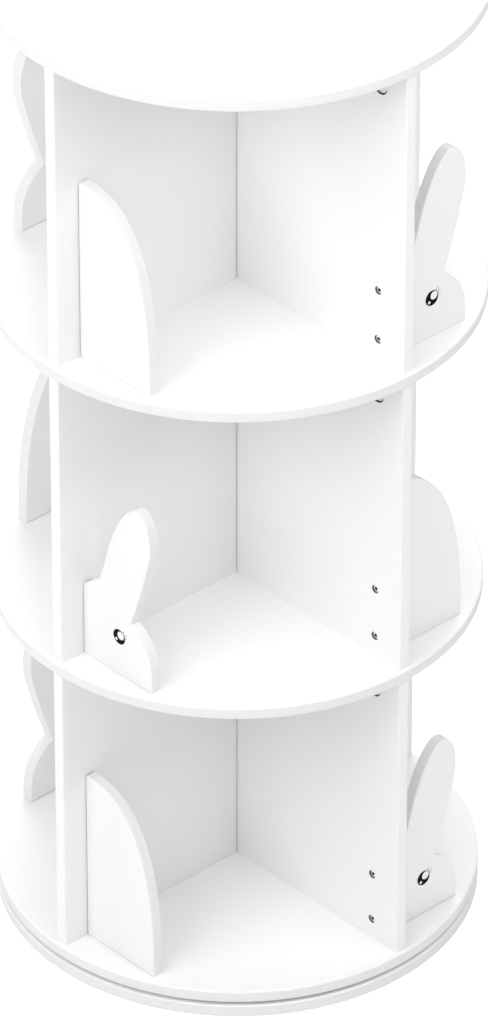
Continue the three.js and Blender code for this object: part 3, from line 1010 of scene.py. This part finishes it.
class OBJECT_OT_tower_screws(bpy.types.Operator):
    """Model the socket screws that hold each end board"""

    bl_idname = "object.tower_screws"
    bl_label = "Screws"
    bl_options = {"REGISTER", "UNDO"}

    def execute(self, context):
        sizes = context.scene.tower_fittings
        seat = sizes.recess_depth - BOARD / 2
        for tier, arm in PLACES:
            screws = []
            for rise in screw_rises(sizes):
                bm = self.screw(sizes)
                turn(bm, QUARTER_TURN, "X")
                move(bm, FASTENER_X, seat, rise)
                screws.append(bm)
            arm_piece(tier, arm, "screws", join(screws), "plated_steel")
        return {"FINISHED"}

    def screw(self, sizes):
        """A screw whose head stands on height zero, with a hexagon socket in its top."""
        top = sizes.head_thickness
        slope = top * HEAD_SLOPE_SHARE
        end = sizes.hole_gap - sizes.shank_length
        bm = ring([
            (0, end), (sizes.shank_radius, end), (sizes.shank_radius, 0), (sizes.head_radius, 0),
            (sizes.head_radius, top - slope), (sizes.head_radius - slope, top), (0, top),
        ], HOLE_SIDES, closed=False)
        bm = carve(bm, [disc(sizes.socket_radius, top - sizes.socket_depth, top + OVERRUN, HEXAGON)])
        inside = []
        for face in bm.faces:
            middle = face.calc_center_median()
            if middle.xy.length < sizes.socket_radius and end + WELD < middle.z < top - WELD:
                inside.append(face)
        # The socket's inside is marked for the painted shade colour
        mark(bm, "hole", inside)
        return bm


class OBJECT_OT_tower_cams(bpy.types.Operator):
    """Model the cam locks, and finish the bolts that they grip"""

    bl_idname = "object.tower_cams"
    bl_label = "Cam Locks"
    bl_options = {"REGISTER", "UNDO"}

    def execute(self, context):
        sizes = context.scene.tower_fittings
        for tier, arm in PLACES:
            arm_piece(tier, arm, "cam", self.cam(sizes), "cast_zinc", "cam_lock")
            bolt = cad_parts[f"{tier}_{arm}_cam_bolt"]
            bolt.data.materials.clear()
            bolt.data.materials.append(finish_material("plated_steel"))
        return {"FINISHED"}

    def cam(self, sizes):
        """A cam on the arm along +X: a drum with a raised rim, a cross slot and a hollow for the bolt."""
        face = CAM_LOW.y + sizes.cam_sink
        drum = cross_bar(CAM_RISE, CAM_RADIUS, face, CAM_HIGH.y)
        rims = [edge for edge in drum.edges
                if all(vert.co.y < face + WELD for vert in edge.verts)]
        round_edges(drum, rims, sizes.cam_rounding)
        dish = cross_bar(CAM_RISE, CAM_RADIUS - sizes.cam_rim, face - OVERRUN, face + sizes.dish_depth)
        slots = []
        for width, height in (
            (sizes.cross_length, sizes.cross_width),
            (sizes.cross_width, sizes.cross_length),
        ):
            slots.append(cuboid(
                (FASTENER_X - width / 2, face - OVERRUN, CAM_RISE - height / 2),
                (FASTENER_X + width / 2, face + sizes.cross_depth, CAM_RISE + height / 2)))
        grip = bolt_bore(sizes.hole_gap, BOLT_LOW.z - PANEL_LOW.z - sizes.hole_gap,
                         CAM_RISE + CAM_RADIUS + OVERRUN)
        return carve(drum, [dish, *slots, grip])


class OBJECT_OT_tower_turntable(bpy.types.Operator):
    """Model the turntable's rings, its cage and its balls"""

    bl_idname = "object.tower_turntable"
    bl_label = "Turntable"
    bl_options = {"REGISTER", "UNDO"}

    def execute(self, context):
        sizes = context.scene.tower_fittings
        ball = (CAGE_HIGH.z - CAGE_LOW.z) / 2
        race = CAGE_HIGH.x - ball
        cage_half = sizes.band_thickness / 2
        cage_rise = sizes.band_height / 2
        wall = race - INNER_RING_HIGH.x
        groove = ball + wall - cage_half
        reach = math.acos(wall / groove)
        outer = [
            (race + wall, OUTER_RING_LOW.z), (OUTER_RING_HIGH.x, OUTER_RING_LOW.z),
            (OUTER_RING_HIGH.x, OUTER_RING_HIGH.z - RING_CHAMFER),
            (OUTER_RING_HIGH.x - RING_CHAMFER, OUTER_RING_HIGH.z),
            (race + wall, OUTER_RING_HIGH.z), *self.groove(race, groove, reach, -reach)]
        bore = race - (OUTER_RING_HIGH.x - race)
        inner = [
            (bore, INNER_RING_LOW.z + RING_CHAMFER), (bore + RING_CHAMFER, INNER_RING_LOW.z),
            (race - wall, INNER_RING_LOW.z),
            *self.groove(race, groove, math.pi + reach, math.pi - reach),
            (race - wall, INNER_RING_HIGH.z), (bore, INNER_RING_HIGH.z)]
        piece("turntable_outer", ring(outer), "base", "drawn_aluminium", ["turntable_outer_ring"])
        piece("turntable_inner", ring(inner), "tower", "drawn_aluminium", ["turntable_inner_ring"])
        band = ring([
            (race - cage_half, RACE_Z - cage_rise), (race + cage_half, RACE_Z - cage_rise),
            (race + cage_half, RACE_Z + cage_rise), (race - cage_half, RACE_Z + cage_rise)])
        balls = []
        for number in range(sizes.ball_count):
            bm = bmesh.new()
            bmesh.ops.create_uvsphere(bm, u_segments=BALL_SIDES, v_segments=BALL_BANDS, radius=ball)
            move(bm, race, 0, RACE_Z)
            turn(bm, 2 * math.pi * number / sizes.ball_count)
            balls.append(bm)
        piece("turntable_cage", band, "ball_cage", "moulded_nylon", ["turntable_ball_cage"])
        piece("turntable_balls", join(balls), "ball_cage", "plated_steel", ["turntable_ball_cage"])
        return {"FINISHED"}

    def groove(self, race, radius, start, end):
        """Corners of a groove's round section, from one angle to another."""
        angles = [start + (end - start) * step / GROOVE_STEPS for step in range(GROOVE_STEPS + 1)]
        return [(race + radius * math.cos(angle), RACE_Z + radius * math.sin(angle)) for angle in angles]


class OBJECT_OT_tower_base(bpy.types.Operator):
    """Model the fixed base and its foot pads"""

    bl_idname = "object.tower_base"
    bl_label = "Base"
    bl_options = {"REGISTER", "UNDO"}

    def execute(self, context):
        sizes = context.scene.tower_boards
        base = rounded_disc(BASE_HIGH.x, BASE_LOW.z, BASE_HIGH.z, sizes.base_rounding)
        pocket = disc(OUTER_RING_HIGH.x + sizes.ring_gap, OUTER_RING_LOW.z, BASE_HIGH.z + OVERRUN, RIM_SIDES)
        piece("base_disc", carve(base, [pocket]), "base", "white_paint", ["base_board"])
        radius = (PAD_HIGH.x - PAD_LOW.x) / 2
        for number in range(1, PAD_COUNT + 1):
            low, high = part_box(f"foot_pad_{number}")
            bm = rounded_disc(radius, low.z, high.z, sizes.pad_rounding, sides=HOLE_SIDES)
            middle = (low + high) / 2
            move(bm, middle.x, middle.y)
            piece(f"pad_{number}", bm, "base", "grey_rubber", [f"foot_pad_{number}"])
        return {"FINISHED"}


FLOOR_RADIUS = 40.0
FLOOR_ROUGHNESS = 0.9
VIEW_LIMIT = 100.0

# Azimuth and elevation in degrees, distance from the tower's middle, and length of a side
LIGHTS = {
    "front_light": (0, 35, 2.2, 1.4),
    "left_light": (-70, 12, 2.2, 1.4),
    "right_light": (105, 46, 2.2, 1.4),
    "broad_light": (45, 45, 4.0, 3.5),
    "back_light": (225, 45, 3.0, 2.4),
}


class OBJECT_OT_tower_stage(bpy.types.Operator):
    """Set the pale floor, the soft lights and the camera"""

    bl_idname = "object.tower_stage"
    bl_label = "Stage"
    bl_options = {"REGISTER", "UNDO"}

    def execute(self, context):
        settings = context.scene.tower_stage
        self.floor(context, settings.backdrop)
        self.surroundings(context, settings.sky)
        for name, place in LIGHTS.items():
            self.soft_light(context, name, getattr(settings, name), *place)
        self.camera(context, settings)
        context.scene.view_settings.view_transform = "Standard"
        context.scene.view_settings.look = "None"
        return {"FINISHED"}

    def floor(self, context, backdrop):
        """A white floor that shows the camera more white than it throws on the tower."""
        bm = bmesh.new()
        bmesh.ops.create_circle(bm, cap_ends=True, segments=RIM_SIDES, radius=FLOOR_RADIUS)
        floor = mesh_object("floor", bm)
        finish = Finish("floor_white", context.scene.tower_colors.floor, FLOOR_ROUGHNESS)
        finish.shader.inputs["Emission Color"].default_value = (1, 1, 1, 1)
        seen = finish.tree.nodes.new("ShaderNodeLightPath").outputs["Is Camera Ray"]
        glow = maths(finish.tree, "MULTIPLY", seen, backdrop)
        finish.tree.links.new(glow, finish.shader.inputs["Emission Strength"])
        floor.data.materials.append(finish.material)

    def surroundings(self, context, strength):
        """An even pale sky, white where the camera sees it."""
        world = bpy.data.worlds.new("studio")
        world.use_nodes = True
        tree = world.node_tree
        background = tree.nodes["Background"]
        background.inputs["Color"].default_value = (1, 1, 1, 1)
        seen = tree.nodes.new("ShaderNodeLightPath").outputs["Is Camera Ray"]
        tree.links.new(blend(tree, seen, strength, 1.0), background.inputs["Strength"])
        context.scene.world = world

    def soft_light(self, context, name, watts, azimuth, elevation, distance, size):
        """A square light that faces the tower's middle; its angles are in degrees."""
        data = bpy.data.lights.new(name, "AREA")
        data.shape = "SQUARE"
        data.size = size
        data.energy = watts
        away = direction(math.radians(azimuth), math.radians(elevation))
        lamp = bpy.data.objects.new(name, data)
        lamp.visible_camera = False
        lamp.location = UP * (SHELF_HIGH.z / 2) + away * distance
        lamp.rotation_euler = (-away).to_track_quat("-Z", "Y").to_euler()
        context.scene.collection.objects.link(lamp)

    def camera(self, context, settings):
        right = Vector((math.cos(settings.azimuth), math.sin(settings.azimuth), 0))
        back = direction(settings.azimuth, settings.elevation)
        data = bpy.data.cameras.new("camera")
        data.lens = settings.lens
        data.sensor_width = settings.sensor
        data.clip_end = VIEW_LIMIT
        camera = bpy.data.objects.new("camera", data)
        camera.location = right * settings.aim_right + UP * settings.aim_height + back * settings.distance
        camera.rotation_euler = (-back).to_track_quat("-Z", "Y").to_euler()
        context.scene.collection.objects.link(camera)
        context.scene.camera = camera


OPERATORS = (
    OBJECT_OT_tower_shelves,
    OBJECT_OT_tower_uprights,
    OBJECT_OT_tower_end_boards,
    OBJECT_OT_tower_eyes,
    OBJECT_OT_tower_screws,
    OBJECT_OT_tower_cams,
    OBJECT_OT_tower_turntable,
    OBJECT_OT_tower_base,
    OBJECT_OT_tower_stage,
)


class VIEW3D_PT_tower(bpy.types.Panel):
    """Lists the tower's sizes, colours and pieces"""

    bl_idname = "VIEW3D_PT_tower"
    bl_label = "Revolving Media Tower"
    bl_space_type = "VIEW_3D"
    bl_region_type = "UI"
    bl_category = "Tower"

    def draw(self, context):
        for name, group in SETTINGS.items():
            box = self.layout.box()
            for label in group.__annotations__:
                box.prop(getattr(context.scene, name), label)
        for operator in OPERATORS:
            self.layout.operator(operator.bl_idname)


CLASSES = (*SETTINGS.values(), *OPERATORS, VIEW3D_PT_tower)


def register():
    for cls in CLASSES:
        bpy.utils.register_class(cls)
    for name, group in SETTINGS.items():
        setattr(bpy.types.Scene, name, PointerProperty(type=group))


def unregister():
    for name in SETTINGS:
        delattr(bpy.types.Scene, name)
    for cls in reversed(CLASSES):
        bpy.utils.unregister_class(cls)


def main():
    register()
    bpy.ops.object.tower_shelves()
    bpy.ops.object.tower_uprights()
    bpy.ops.object.tower_end_boards()
    bpy.ops.object.tower_eyes()
    bpy.ops.object.tower_screws()
    bpy.ops.object.tower_cams()
    bpy.ops.object.tower_turntable()
    bpy.ops.object.tower_base()
    bpy.ops.object.tower_stage()


if __name__ == "__main__":
    main()
